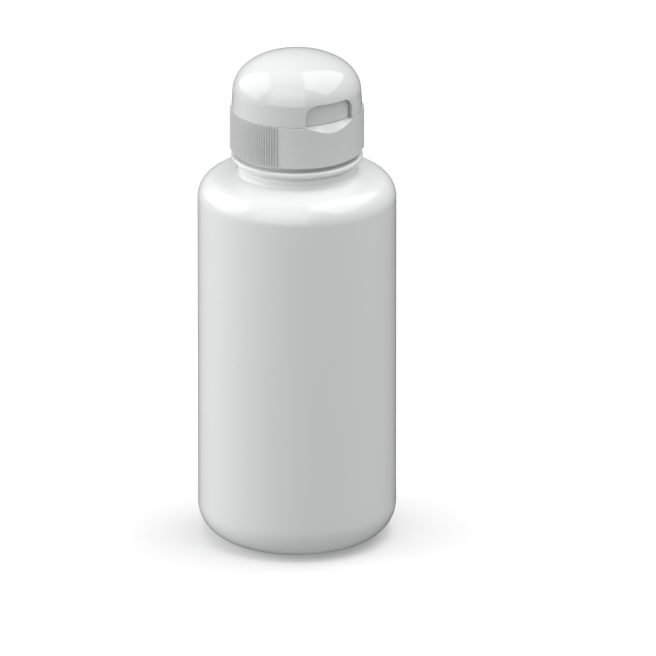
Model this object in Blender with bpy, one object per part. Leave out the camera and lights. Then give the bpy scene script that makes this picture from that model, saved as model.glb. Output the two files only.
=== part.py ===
"""A one-litre flip-top bottle: a blow-moulded bottle, and a screw closure with a hinged dome lid.

Run it with: blender --background --python part.py
Units are metres, +Z is up and the thumb notch faces -Y. The origin is the centre of the foot, on the ground.
The closure turns off the neck on a helical thread, and the lid swings back on a hinge pin behind the closure.
"""

import math

import bmesh
import bpy
from mathutils import Matrix, Vector

# ---- Bottle ----
BODY_RADIUS = 0.0440
BODY_WALL = 0.0012
BASE_FILLET = 0.0148
FOOT_WIDTH = 0.0050
PUSH_UP_HEIGHT = 0.0035
SHOULDER_START = 0.1575
SHOULDER_FILLET = 0.0106
SHOULDER_SLOPE = math.radians(12)
NECK_STEP = 0.0007
NECK_LENGTH = 0.0059
NECK_FILLET = 0.0020
NECK_WALL = 0.0017
BEAD_STEP = 0.0039
BEAD_HEIGHT = 0.0022
BEAD_ROUND = 0.0010
FINISH_RADIUS = 0.0253
FINISH_HEIGHT = 0.0168
LIP_ROUND = 0.0004

# ---- Thread ----
THREAD_PITCH = 0.0045
THREAD_DEPTH = 0.0014
THREAD_CLEARANCE = 0.0005
THREAD_ROOT_WIDTH = 0.0020
THREAD_CREST_WIDTH = 0.0009
THREAD_FLANK_GAP = 0.0003
THREAD_EMBED = 0.0004
THREAD_FADE = math.radians(35)
BOTTLE_THREAD_TURNS = 1.5
CLOSURE_THREAD_TURNS = 1.25
BOTTLE_THREAD_START = 0.0065

# ---- Gaps between pieces ----
SEAT_GAP = 0.00015
PARTING_GAP = 0.00015
GASKET_SIDE_GAP = 0.0003
PLATEAU_GAP = 0.0005

# ---- Closure ----
CLOSURE_LIFT = 0.0022
SKIRT_WALL = 0.00175
SKIRT_EDGE_ROUND = 0.0004
DECK_THICKNESS = 0.0027
DECK_WALL = 0.0020
GASKET_SEAT_WIDTH = 0.0047
PLATEAU_HEIGHT = 0.0017
GRIP_PROUD = 0.0008
GRIP_GROOVE = 0.0005
GRIP_RIB_PITCH = math.radians(2.4)
GRIP_RIBS = 33
RIB_FOOT_SHARE = 0.14
RIB_RISE_SHARE = 0.40
RIB_FALL_SHARE = 0.74
GRIP_TOP_STEP = 0.0001
GRIP_CHAMFER = 0.0006

# ---- Mouthpiece: a spout that grips the edge of the hole in the closure ----
SPOUT_BORE = 0.0054
SPOUT_TIP_WALL = 0.0012
SPOUT_TAPER = 0.0017
SPOUT_ROOT_FILLET = 0.0020
SPOUT_BEAD = 0.0006
SPOUT_BEAD_HEIGHT = 0.0030
COLLAR_THICKNESS = 0.0007
FLANGE_LIP = 0.0030
FLANGE_THICKNESS = 0.0014

# ---- Valve and gasket ----
VALVE_LEDGE = 0.0012
VALVE_FLANGE_HEIGHT = 0.0014
VALVE_WALL = 0.0008
VALVE_DISH = 0.0014
RETAINER_HEIGHT = 0.0026
RETAINER_WALL = 0.0016
GASKET_THICKNESS = 0.0015

# ---- Lid ----
LID_WALL = 0.0019
LID_BAND_HEIGHT = 0.0063
LID_DRAFT = 0.00035
DOME_HEIGHT = 0.0185
DOME_POWER = 2.237
SEAL_MARGIN = 0.0002
SEAL_THICKNESS = 0.0020
SEAL_HOLDER_WALL = 0.0014
SEAL_HOLDER_GAP = 0.0003

# ---- Thumb notch: an arched pocket in the lid above a scoop in the closure ----
NOTCH_HALF_WIDTH = 0.0123
NOTCH_HEIGHT = 0.0096
NOTCH_CORNER = 0.0055
NOTCH_DEPTH = 0.00255
NOTCH_BACK_WALL = 0.0016
NOTCH_SIDE_WALL = 0.0017
SCOOP_DEPTH = 0.0036
SCOOP_POWER = 1.2

# ---- Hinge ----
HINGE_RISE = 0.0011
HINGE_HEAD_WALL = 0.0011
HINGE_PIN_RADIUS = 0.0010
HINGE_PRESS_GAP = 0.0001
HINGE_RUN_GAP = 0.0002
HINGE_SIDE_GAP = 0.0003
KNUCKLE_HALF_WIDTH = 0.0038
LUG_WIDTH = 0.0028
LUG_FOOT_DROP = 0.0072
LUG_BRACE_DROP = 0.0042
HINGE_ARM_LIFT = 0.0005
HINGE_ARM_RISE = 0.00315
PIN_INSET = 0.0001

# ---- Places worked out from the sizes above ----
SHOULDER_TURN = math.pi / 2 - SHOULDER_SLOPE
SHOULDER_EDGE_RADIUS = BODY_RADIUS - SHOULDER_FILLET * (1 - math.cos(SHOULDER_TURN))
NECK_RADIUS = FINISH_RADIUS + NECK_STEP
BEAD_RADIUS = FINISH_RADIUS + BEAD_STEP
SHOULDER_EDGE_Z = SHOULDER_START + SHOULDER_FILLET * math.sin(SHOULDER_TURN)
NECK_FOOT_Z = SHOULDER_EDGE_Z + (SHOULDER_EDGE_RADIUS - NECK_RADIUS) * math.tan(SHOULDER_SLOPE)
BEAD_Z = NECK_FOOT_Z + NECK_LENGTH
BEAD_TOP_Z = BEAD_Z + BEAD_HEIGHT
LIP_Z = BEAD_TOP_Z + FINISH_HEIGHT
MOUTH_RADIUS = FINISH_RADIUS - NECK_WALL
SKIRT_BORE = FINISH_RADIUS + THREAD_DEPTH + THREAD_CLEARANCE
CLOSURE_RADIUS = SKIRT_BORE + SKIRT_WALL
GRIP_RADIUS = CLOSURE_RADIUS + GRIP_PROUD
SKIRT_Z = BEAD_TOP_Z + CLOSURE_LIFT
GASKET_Z = LIP_Z + SEAT_GAP
DECK_UNDER_Z = GASKET_Z + GASKET_THICKNESS + SEAT_GAP
RIM_Z = DECK_UNDER_Z + DECK_THICKNESS
NOTCH_BACK_RADIUS = CLOSURE_RADIUS - NOTCH_DEPTH
NOTCH_PAD_RADIUS = NOTCH_BACK_RADIUS - NOTCH_BACK_WALL
PLATEAU_RADIUS = NOTCH_PAD_RADIUS - PLATEAU_GAP
PLATEAU_Z = RIM_Z + PLATEAU_HEIGHT
PLATEAU_UNDER_Z = PLATEAU_Z - DECK_WALL
VALVE_SEAT_RADIUS = SPOUT_BORE + VALVE_LEDGE
SPOUT_TIP_RADIUS = VALVE_SEAT_RADIUS + SPOUT_TIP_WALL
SPOUT_BASE_RADIUS = SPOUT_TIP_RADIUS + SPOUT_TAPER
FLANGE_RADIUS = SPOUT_BASE_RADIUS + FLANGE_LIP
SEAL_RADIUS = SPOUT_TIP_RADIUS + SPOUT_BEAD + SEAL_MARGIN
LID_Z = RIM_Z + PARTING_GAP
DOME_Z = LID_Z + LID_BAND_HEIGHT
DOME_RADIUS = CLOSURE_RADIUS - LID_DRAFT
LID_TOP_Z = DOME_Z + DOME_HEIGHT
HINGE_HEAD_RADIUS = HINGE_PIN_RADIUS + HINGE_HEAD_WALL
HINGE_Y = CLOSURE_RADIUS + HINGE_HEAD_RADIUS + SEAT_GAP
HINGE_Z = RIM_Z + HINGE_RISE
LUG_START = KNUCKLE_HALF_WIDTH + HINGE_SIDE_GAP
LUG_END = LUG_START + LUG_WIDTH

# ---- Mesh fineness ----
ROUND_STEPS = 40
SMALL_STEPS = 20
ARC_STEPS = 4
DOME_STEPS = 10
NOTCH_COLUMNS = 8
THREAD_STEPS_PER_TURN = 36
THREAD_PHASE = math.radians(3.3)
WELD = 1e-6
SHARP_ANGLE = math.radians(35)
CUT_MARGIN = 0.004

WHITE_GLOSS = ("white_gloss", (0.80, 0.81, 0.81), 0.22, 0.0)
WHITE_SATIN = ("white_satin", (0.76, 0.77, 0.77), 0.38, 0.0)
SILICONE = ("silicone", (0.72, 0.73, 0.74), 0.50, 0.0)
STEEL = ("steel", (0.62, 0.62, 0.63), 0.28, 1.0)


def clear_scene():
    for obj in list(bpy.data.objects):
        bpy.data.objects.remove(obj, do_unlink=True)


def material(spec):
    name, colour, roughness, metallic = spec
    found = bpy.data.materials.get(name)
    if found:
        return found
    made = bpy.data.materials.new(name)
    made.use_nodes = True
    made.diffuse_color = (*colour, 1.0)
    shader = made.node_tree.nodes["Principled BSDF"]
    shader.inputs["Base Color"].default_value = (*colour, 1.0)
    shader.inputs["Roughness"].default_value = roughness
    shader.inputs["Metallic"].default_value = metallic
    return made


def object_from(bm, name, spec=WHITE_SATIN):
    """Makes an object of a bmesh, with outward normals, round faces smooth and its edges sharp."""
    bmesh.ops.recalc_face_normals(bm, faces=bm.faces)
    mesh = bpy.data.meshes.new(name)
    bm.to_mesh(mesh)
    bm.free()
    obj = bpy.data.objects.new(name, mesh)
    bpy.context.scene.collection.objects.link(obj)
    mesh.materials.append(material(spec))
    shade(mesh)
    return obj


def shade(mesh):
    mesh.shade_smooth()
    mesh.set_sharp_from_angle(angle=SHARP_ANGLE)


def lathe(name, profile, spec=WHITE_SATIN, steps=ROUND_STEPS, closed=False):
    """Turns a profile of (radius, z) points about Z. An open profile starts and ends on the axis."""
    bm = bmesh.new()
    verts = [bm.verts.new((r, 0, z)) for r, z in profile]
    pairs = list(zip(verts, verts[1:]))
    if closed:
        pairs.append((verts[-1], verts[0]))
    edges = [bm.edges.new(pair) for pair in pairs]
    turn = {"axis": (0, 0, 1), "cent": (0, 0, 0), "angle": math.tau, "steps": steps}
    bmesh.ops.spin(bm, geom=verts + edges, use_merge=True, **turn)
    bmesh.ops.remove_doubles(bm, verts=bm.verts, dist=WELD)
    return object_from(bm, name, spec)


def extruded(name, outline, vector, spec=WHITE_SATIN):
    """Pulls a flat outline of points along a vector into a closed solid."""
    bm = bmesh.new()
    face = bm.faces.new([bm.verts.new(p) for p in outline])
    pulled = bmesh.ops.extrude_face_region(bm, geom=[face])["geom"]
    moved = [v for v in pulled if isinstance(v, bmesh.types.BMVert)]
    bmesh.ops.translate(bm, verts=moved, vec=vector)
    return object_from(bm, name, spec)


def lofted(name, rings, spec=WHITE_SATIN):
    """Joins closed rings of equal length into a solid, with a flat face on the first and the last."""
    bm = bmesh.new()
    loops = [[bm.verts.new(p) for p in ring] for ring in rings]
    count = len(loops[0])
    for low, high in zip(loops, loops[1:]):
        for i in range(count):
            j = (i + 1) % count
            bm.faces.new((low[i], low[j], high[j], high[i]))
    bm.faces.new(loops[0])
    bm.faces.new(loops[-1])
    return object_from(bm, name, spec)


def cylinder_x(name, radius, x_low, x_high, steps=SMALL_STEPS, spec=WHITE_SATIN):
    """A rod along X on the hinge axis."""
    ring = [
        (x_low, HINGE_Y + radius * math.cos(a), HINGE_Z + radius * math.sin(a))
        for a in (math.tau * i / steps for i in range(steps))
    ]
    return extruded(name, ring, (x_high - x_low, 0, 0), spec)


def apply_modifiers(obj):
    graph = bpy.context.evaluated_depsgraph_get()
    mesh = bpy.data.meshes.new_from_object(obj.evaluated_get(graph))
    obj.modifiers.clear()
    obj.data = mesh
    shade(mesh)


def combine(obj, tools, operation):
    """Joins or cuts an object with each tool, which is then removed."""
    for tool in tools:
        modifier = obj.modifiers.new(tool.name, "BOOLEAN")
        modifier.operation = operation
        modifier.object = tool
        bpy.context.view_layer.update()
        apply_modifiers(obj)
        bpy.data.objects.remove(tool, do_unlink=True)
    return obj


def arc(centre_r, centre_z, radius, start, end, steps=ARC_STEPS):
    """Points along an arc in the (radius, z) plane, both ends included. Angles are in radians from +r."""
    angles = [start + (end - start) * i / steps for i in range(steps + 1)]
    return [(centre_r + radius * math.cos(a), centre_z + radius * math.sin(a)) for a in angles]


def helix_ridge(name, wall, crest, turns, start_z, outward):
    """A trapezium ridge along a right-handed helix. Both ends sink into the wall they stand on.

    wall is the radius of the surface it stands on and crest is the radius of its top."""
    steps = round(THREAD_STEPS_PER_TURN * turns)
    fade = THREAD_FADE / (math.tau / THREAD_STEPS_PER_TURN)
    root = wall - THREAD_EMBED if outward else wall + THREAD_EMBED
    hidden = (wall + root) / 2
    rings = []
    for i in range(steps + 1):
        rise = min(1.0, i / fade, (steps - i) / fade)
        top = hidden + (crest - hidden) * rise
        z = start_z + THREAD_PITCH * i / THREAD_STEPS_PER_TURN
        angle = THREAD_PHASE + math.tau * i / THREAD_STEPS_PER_TURN
        section = (
            (root, -THREAD_ROOT_WIDTH / 2),
            (top, -THREAD_CREST_WIDTH / 2),
            (top, THREAD_CREST_WIDTH / 2),
            (root, THREAD_ROOT_WIDTH / 2),
        )
        rings.append([(r * math.cos(angle), r * math.sin(angle), z + dz) for r, dz in section])
    return lofted(name, rings)


# ---- Bottle ----


def bottle_outside():
    """Profile from the centre of the underside, out over the foot and up to the lip."""
    foot_inner = BODY_RADIUS - BASE_FILLET - FOOT_WIDTH
    push_up_radius = (foot_inner**2 + PUSH_UP_HEIGHT**2) / (2 * PUSH_UP_HEIGHT)
    half = math.asin(foot_inner / push_up_radius)
    centre_z = PUSH_UP_HEIGHT - push_up_radius
    points = arc(0, centre_z, push_up_radius, math.pi / 2, math.pi / 2 - half)
    points[0] = (0, PUSH_UP_HEIGHT)
    points += arc(BODY_RADIUS - BASE_FILLET, BASE_FILLET, BASE_FILLET, -math.pi / 2, 0, 6)
    shoulder_centre = BODY_RADIUS - SHOULDER_FILLET
    points += arc(shoulder_centre, SHOULDER_START, SHOULDER_FILLET, 0, SHOULDER_TURN, 5)
    points += neck_fillet()
    points.append((NECK_RADIUS, BEAD_Z))
    points.append((BEAD_RADIUS, BEAD_Z))
    round_centre = BEAD_TOP_Z - BEAD_ROUND
    points += arc(BEAD_RADIUS - BEAD_ROUND, round_centre, BEAD_ROUND, 0, math.pi / 2, 3)
    points.append((FINISH_RADIUS, BEAD_TOP_Z))
    points += arc(FINISH_RADIUS - LIP_ROUND, LIP_Z - LIP_ROUND, LIP_ROUND, 0, math.pi / 2, 2)
    return points


def neck_fillet():
    """The hollow curve from the sloping shoulder into the upright neck."""
    back = NECK_FILLET * math.tan(SHOULDER_TURN / 2)
    centre_r = NECK_RADIUS + NECK_FILLET
    centre_z = NECK_FOOT_Z + back
    return arc(centre_r, centre_z, NECK_FILLET, math.pi + SHOULDER_TURN, math.pi, 3)


def bottle_inside():
    """Profile from the lip down the inside to the centre of the floor, one wall in from the outside."""
    inner = BODY_RADIUS - BODY_WALL
    shoulder = SHOULDER_FILLET - BODY_WALL
    neck_inner_foot = NECK_FOOT_Z - BODY_WALL
    points = arc(MOUTH_RADIUS + LIP_ROUND, LIP_Z - LIP_ROUND, LIP_ROUND, math.pi / 2, math.pi, 2)
    points.append((MOUTH_RADIUS, neck_inner_foot))
    points += arc(inner - shoulder, SHOULDER_START, shoulder, SHOULDER_TURN, 0, 4)
    fillet = BASE_FILLET - BODY_WALL
    points += arc(inner - fillet, BASE_FILLET, fillet, 0, -math.pi / 2, 5)
    floor_edge = inner - fillet - FOOT_WIDTH
    points.append((floor_edge, BODY_WALL))
    points.append((floor_edge / 2, BODY_WALL + PUSH_UP_HEIGHT * 3 / 4))
    points.append((0, BODY_WALL + PUSH_UP_HEIGHT))
    return points


def make_bottle():
    bottle = lathe("bottle", bottle_outside() + bottle_inside(), WHITE_GLOSS)
    start = BEAD_TOP_Z + BOTTLE_THREAD_START
    crest = FINISH_RADIUS + THREAD_DEPTH
    thread = helix_ridge("neck_thread", FINISH_RADIUS, crest, BOTTLE_THREAD_TURNS, start, True)
    return combine(bottle, [thread], "UNION")


# ---- Gasket between the lip and the closure ----


def make_gasket():
    outer = SKIRT_BORE - GASKET_SIDE_GAP
    top = GASKET_Z + GASKET_THICKNESS
    loop = [(MOUTH_RADIUS, top), (outer, top), (outer, GASKET_Z), (MOUTH_RADIUS, GASKET_Z)]
    return lathe("neck_gasket", loop[::-1], SILICONE, closed=True)


# ---- Closure ----


def dome_z(radius, wall=0.0):
    """Height of the dome at a radius. wall gives the inner surface."""
    share = min(1.0, radius / (DOME_RADIUS - wall))
    return DOME_Z + (DOME_HEIGHT - wall) * (1 - share**DOME_POWER) ** (1 / DOME_POWER)


SEAL_TOP_Z = dome_z(SEAL_RADIUS, LID_WALL) - SEAT_GAP
SEAL_Z = SEAL_TOP_Z - SEAL_THICKNESS
SPOUT_TOP_Z = SEAL_Z - SEAT_GAP
RETAINER_TOP_Z = SPOUT_TOP_Z - SPOUT_BEAD
RETAINER_Z = RETAINER_TOP_Z - RETAINER_HEIGHT
VALVE_TOP_Z = RETAINER_Z - SEAT_GAP
VALVE_Z = VALVE_TOP_Z - VALVE_FLANGE_HEIGHT
VALVE_SEAT_Z = VALVE_Z - SEAT_GAP


def closure_profile():
    """Closed profile of the skirt and deck, from the hole for the mouthpiece round to it again."""
    hole = SPOUT_BASE_RADIUS + SEAT_GAP
    seat_inner = SKIRT_BORE - GASKET_SEAT_WIDTH
    edge = SKIRT_EDGE_ROUND
    return [
        (hole, PLATEAU_Z),
        (PLATEAU_RADIUS - edge, PLATEAU_Z),
        (PLATEAU_RADIUS, PLATEAU_Z - edge),
        (PLATEAU_RADIUS, RIM_Z),
        (CLOSURE_RADIUS, RIM_Z),
        (CLOSURE_RADIUS, SKIRT_Z + edge),
        (CLOSURE_RADIUS - edge, SKIRT_Z),
        (SKIRT_BORE + edge, SKIRT_Z),
        (SKIRT_BORE, SKIRT_Z + edge),
        (SKIRT_BORE, DECK_UNDER_Z),
        (seat_inner, DECK_UNDER_Z),
        (seat_inner, PLATEAU_UNDER_Z),
        (hole, PLATEAU_UNDER_Z),
    ]


def grip_outline(centre, inset):
    """Outline of one ribbed panel seen from above: ribs outside, and a plain arc buried in the skirt."""
    crest = GRIP_RADIUS - inset
    groove = crest - GRIP_GROOVE
    start = centre - GRIP_RIB_PITCH * GRIP_RIBS / 2
    corners = ((RIB_FOOT_SHARE, groove), (RIB_RISE_SHARE, crest), (RIB_FALL_SHARE, crest), (1, groove))
    points = []
    for rib in range(GRIP_RIBS):
        for share, radius in corners:
            points.append((radius, start + GRIP_RIB_PITCH * (rib + share)))
    buried = (SKIRT_BORE + CLOSURE_RADIUS) / 2
    end = start + GRIP_RIB_PITCH * GRIP_RIBS
    points += [(buried, end + (start - end) * i / ARC_STEPS) for i in range(ARC_STEPS + 1)]
    return [(r * math.cos(a), r * math.sin(a)) for r, a in points]


def make_grip(name, centre):
    levels = (
        (SKIRT_Z + SKIRT_EDGE_ROUND / 2, GRIP_CHAMFER),
        (SKIRT_Z + SKIRT_EDGE_ROUND / 2 + GRIP_CHAMFER, 0.0),
        (RIM_Z - GRIP_TOP_STEP, 0.0),
    )
    rings = [[(x, y, z) for x, y in grip_outline(centre, inset)] for z, inset in levels]
    return lofted(name, rings)


def lug_outline():
    """Side view of a hinge lug in (y, z): a round head on a foot that runs down into the skirt."""
    head = arc(HINGE_Y, HINGE_Z, HINGE_HEAD_RADIUS, 0, math.pi, 10)
    buried = SKIRT_BORE + THREAD_EMBED
    shelf = RIM_Z - SEAT_GAP * 2
    foot_z = RIM_Z - LUG_FOOT_DROP
    below = [
        (HINGE_Y - HINGE_HEAD_RADIUS, shelf),
        (buried, shelf),
        (buried, foot_z),
        (CLOSURE_RADIUS, foot_z),
        (HINGE_Y + HINGE_HEAD_RADIUS, HINGE_Z - LUG_BRACE_DROP),
    ]
    return head + below


def make_lug(name, x_low):
    return extruded(name, [(x_low, y, z) for y, z in lug_outline()], (LUG_WIDTH, 0, 0))


def scoop_drop(x):
    """How far the thumb scoop drops below the rim on the closure's outer face, across its width."""
    share = min(1.0, abs(x) / NOTCH_HALF_WIDTH)
    return SCOOP_DEPTH * max(0.0, math.cos(math.pi / 2 * share)) ** SCOOP_POWER


def make_scoop():
    """Cutter for the thumb scoop: it slopes from the foot of the notch's back wall out and down."""
    columns = 16
    lift = PARTING_GAP / 3
    reach = 2.0
    rings = []
    for i in range(columns + 1):
        x = NOTCH_HALF_WIDTH * (2 * i / columns - 1)
        drop = scoop_drop(x)
        y_back = -math.sqrt(NOTCH_BACK_RADIUS**2 - x**2)
        y_face = -math.sqrt(CLOSURE_RADIUS**2 - x**2)
        y_out = y_back + (y_face - y_back) * reach
        back = Vector((x, y_back, RIM_Z + lift))
        front = Vector((x, y_out, RIM_Z + lift - drop * reach))
        top = RIM_Z + CUT_MARGIN
        rings.append([back, front, Vector((x, y_out, top)), Vector((x, y_back, top))])
    return lofted("scoop_cutter", rings)


def make_closure():
    closure = lathe("closure", closure_profile()[::-1], WHITE_SATIN, closed=True)
    crest = SKIRT_BORE - THREAD_DEPTH
    flank = (THREAD_ROOT_WIDTH + THREAD_CREST_WIDTH) / 2
    start = BEAD_TOP_Z + BOTTLE_THREAD_START - flank - THREAD_FLANK_GAP
    thread = helix_ridge("skirt_thread", SKIRT_BORE, crest, CLOSURE_THREAD_TURNS, start, False)
    combine(closure, [thread, make_grip("grip_left", math.pi), make_grip("grip_right", 0.0)], "UNION")
    combine(closure, [make_scoop()], "DIFFERENCE")
    combine(closure, [make_lug("lug_left", -LUG_END), make_lug("lug_right", LUG_START)], "UNION")
    reach = LUG_END + CUT_MARGIN
    hole = cylinder_x("pin_hole", HINGE_PIN_RADIUS + HINGE_PRESS_GAP, -reach, reach)
    return combine(closure, [hole], "DIFFERENCE")


# ---- Mouthpiece, its slit valve and the ring that holds the valve ----


def mouthpiece_profile():
    """Closed profile: spout and collar above the deck, a groove round the hole's edge, and a flange below."""
    taper_z = SPOUT_TOP_Z - SPOUT_BEAD_HEIGHT
    bead_radius = SPOUT_TIP_RADIUS + SPOUT_BEAD
    collar_radius = SPOUT_BASE_RADIUS + SPOUT_ROOT_FILLET
    collar_z = PLATEAU_Z + SEAT_GAP
    flange_top = PLATEAU_UNDER_Z - SEAT_GAP
    flange_z = flange_top - FLANGE_THICKNESS
    spout = [
        (SPOUT_BORE, VALVE_SEAT_Z),
        (VALVE_SEAT_RADIUS, VALVE_SEAT_Z),
        (VALVE_SEAT_RADIUS, SPOUT_TOP_Z),
        (bead_radius - SPOUT_BEAD, SPOUT_TOP_Z),
        (bead_radius, SPOUT_TOP_Z - SPOUT_BEAD),
        (bead_radius, taper_z + SPOUT_BEAD),
        (SPOUT_TIP_RADIUS, taper_z),
    ]
    root_z = collar_z + COLLAR_THICKNESS + SPOUT_ROOT_FILLET
    root = arc(collar_radius, root_z, SPOUT_ROOT_FILLET, math.pi, 1.5 * math.pi, 3)
    grip = [
        (collar_radius, collar_z),
        (SPOUT_BASE_RADIUS, collar_z),
        (SPOUT_BASE_RADIUS, flange_top),
        (FLANGE_RADIUS, flange_top),
        (FLANGE_RADIUS, flange_z),
        (SPOUT_BORE, flange_z),
    ]
    return spout + root + grip


def make_mouthpiece():
    return lathe("mouthpiece", mouthpiece_profile(), SILICONE, closed=True)


def make_valve():
    flange = VALVE_SEAT_RADIUS - SEAT_GAP
    dish_radius = SPOUT_BORE - SEAT_GAP * 2
    dish_low = VALVE_TOP_Z - VALVE_DISH
    profile = [
        (0, dish_low),
        (dish_radius / 2, dish_low + VALVE_DISH / 4),
        (dish_radius - VALVE_WALL, VALVE_TOP_Z),
        (flange, VALVE_TOP_Z),
        (flange, VALVE_Z),
        (dish_radius, VALVE_Z),
        (dish_radius / 2, dish_low - VALVE_WALL / 2),
        (0, dish_low - VALVE_WALL),
    ]
    return lathe("slit_valve", profile, SILICONE, steps=SMALL_STEPS)


def make_retainer():
    outer = VALVE_SEAT_RADIUS - SEAT_GAP
    inner = outer - RETAINER_WALL
    edge = SPOUT_BEAD / 2
    loop = [
        (inner + edge, RETAINER_TOP_Z),
        (outer, RETAINER_TOP_Z),
        (outer, RETAINER_Z),
        (inner, RETAINER_Z),
        (inner, RETAINER_TOP_Z - edge),
    ]
    return lathe("valve_retainer", loop, WHITE_SATIN, steps=SMALL_STEPS, closed=True)


# ---- Lid ----


def dome_points(wall, start, end, steps=DOME_STEPS):
    """Points on the dome from radius start to radius end, evenly turned as seen from its centre."""
    reach = DOME_RADIUS - wall
    first = math.acos(min(1.0, (start / reach) ** (DOME_POWER / 2)))
    last = math.acos(min(1.0, (end / reach) ** (DOME_POWER / 2)))
    radii = [
        reach * max(0.0, math.cos(first + (last - first) * i / steps)) ** (2 / DOME_POWER)
        for i in range(steps + 1)
    ]
    return [(r, dome_z(r, wall)) for r in radii]


def lid_profile():
    """Profile from the top of the dome down its outside, round the rim and up the inside to the axis."""
    holder_inner = SEAL_RADIUS + SEAT_GAP
    holder_outer = holder_inner + SEAL_HOLDER_WALL
    holder_z = SPOUT_TOP_Z + SEAL_HOLDER_GAP
    bore = CLOSURE_RADIUS - LID_WALL
    outside = dome_points(0.0, 0.0, DOME_RADIUS)
    outside[0] = (0, LID_TOP_Z)
    rim = [(CLOSURE_RADIUS, LID_Z), (bore, LID_Z)]
    inside = dome_points(LID_WALL, DOME_RADIUS - LID_WALL, holder_outer)
    holder = [(holder_outer, holder_z), (holder_inner, holder_z)]
    roof = dome_points(LID_WALL, holder_inner, 0.0, 3)
    roof[-1] = (0, LID_TOP_Z - LID_WALL)
    return outside + rim + inside + holder + roof


def notch_arch():
    """The arch's upper edge as (x, z) from one side to the other, with rounded corners."""
    top = LID_Z + NOTCH_HEIGHT
    reach = NOTCH_HALF_WIDTH - NOTCH_CORNER
    corner = arc(reach, top - NOTCH_CORNER, NOTCH_CORNER, 0, math.pi / 2, 6)
    roof = [(reach * (1 - 2 * i / NOTCH_COLUMNS), top) for i in range(1, NOTCH_COLUMNS)]
    return corner + roof + [(-x, z) for x, z in reversed(corner)]


def make_notch_pad():
    """The inner wall behind the thumb notch. It thickens the lid inwards before the notch is cut."""
    wall = NOTCH_SIDE_WALL
    half_width = NOTCH_HALF_WIDTH + wall
    columns = 10
    angle = math.asin(half_width / NOTCH_BACK_RADIUS)
    outer = CLOSURE_RADIUS - LID_WALL / 2 - LID_DRAFT
    angles = [-math.pi / 2 + angle * (2 * i / columns - 1) for i in range(columns + 1)]
    outline = [(outer, a) for a in angles] + [(NOTCH_PAD_RADIUS, a) for a in reversed(angles)]
    ring = [(r * math.cos(a), r * math.sin(a), LID_Z + PARTING_GAP) for r, a in outline]
    return extruded("notch_pad", ring, (0, 0, NOTCH_HEIGHT + wall))


def make_notch_cutter():
    """Cutter for the notch: flat in front, with a round back face about the bottle's axis."""
    low = LID_Z - CUT_MARGIN
    front = -CLOSURE_RADIUS - CUT_MARGIN
    rings = []
    for x, z in notch_arch():
        back = -math.sqrt(NOTCH_BACK_RADIUS**2 - x**2)
        rings.append([(x, back, low), (x, front, low), (x, front, z), (x, back, z)])
    return lofted("notch_cutter", rings)


def knuckle_outline():
    """Side view of the lid's hinge knuckle in (y, z): a round head joined to the lid by a short arm."""
    arm_z = LID_Z + HINGE_ARM_LIFT
    below = math.asin((HINGE_Z - arm_z) / HINGE_HEAD_RADIUS)
    head = arc(HINGE_Y, HINGE_Z, HINGE_HEAD_RADIUS, math.pi + below, 2.5 * math.pi, 12)
    buried = CLOSURE_RADIUS - LID_WALL / 2 - LID_DRAFT
    arm_top = HINGE_Z + HINGE_ARM_RISE
    return head + [(buried, arm_top), (buried, arm_z)]


def make_lid():
    lid = lathe("lid", lid_profile(), WHITE_GLOSS)
    width = KNUCKLE_HALF_WIDTH * 2
    ring = [(-KNUCKLE_HALF_WIDTH, y, z) for y, z in knuckle_outline()]
    combine(lid, [make_notch_pad(), extruded("knuckle", ring, (width, 0, 0))], "UNION")
    hole = HINGE_PIN_RADIUS + HINGE_RUN_GAP
    reach = KNUCKLE_HALF_WIDTH + CUT_MARGIN
    bore = cylinder_x("knuckle_hole", hole, -reach, reach)
    return combine(lid, [make_notch_cutter(), bore], "DIFFERENCE")


def make_lid_seal():
    edge = SEAT_GAP * 2
    profile = [
        (0, SEAL_TOP_Z),
        (SEAL_RADIUS, SEAL_TOP_Z),
        (SEAL_RADIUS, SEAL_Z + edge),
        (SEAL_RADIUS - edge, SEAL_Z),
        (0, SEAL_Z),
    ]
    return lathe("lid_seal", profile, SILICONE, steps=ROUND_STEPS)


# ---- Hinge pin ----


def make_pin():
    reach = LUG_END - PIN_INSET
    return cylinder_x("hinge_pin", HINGE_PIN_RADIUS, -reach, reach, SMALL_STEPS, STEEL)


def hang_on_hinge(*objects):
    """Parents the swinging pieces to an empty on the hinge axis, in place."""
    hinge = bpy.data.objects.new("lid_hinge", None)
    hinge.location = (0, HINGE_Y, HINGE_Z)
    bpy.context.scene.collection.objects.link(hinge)
    for obj in objects:
        obj.parent = hinge
        obj.matrix_parent_inverse = Matrix.Translation((0, -HINGE_Y, -HINGE_Z))


def main():
    clear_scene()
    make_bottle()
    make_gasket()
    make_closure()
    make_mouthpiece()
    make_valve()
    make_retainer()
    make_pin()
    hang_on_hinge(make_lid(), make_lid_seal())


main()
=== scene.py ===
"""The looks of the flip-top bottle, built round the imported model.

Every visible piece is remade here with fine curves, rounded edges, real threads and its own material.
Sizes shared with the model come from its boxes. The rest are named below, in metres.
"""

import math

import bmesh
import bpy
from mathutils import Matrix, Vector


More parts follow.
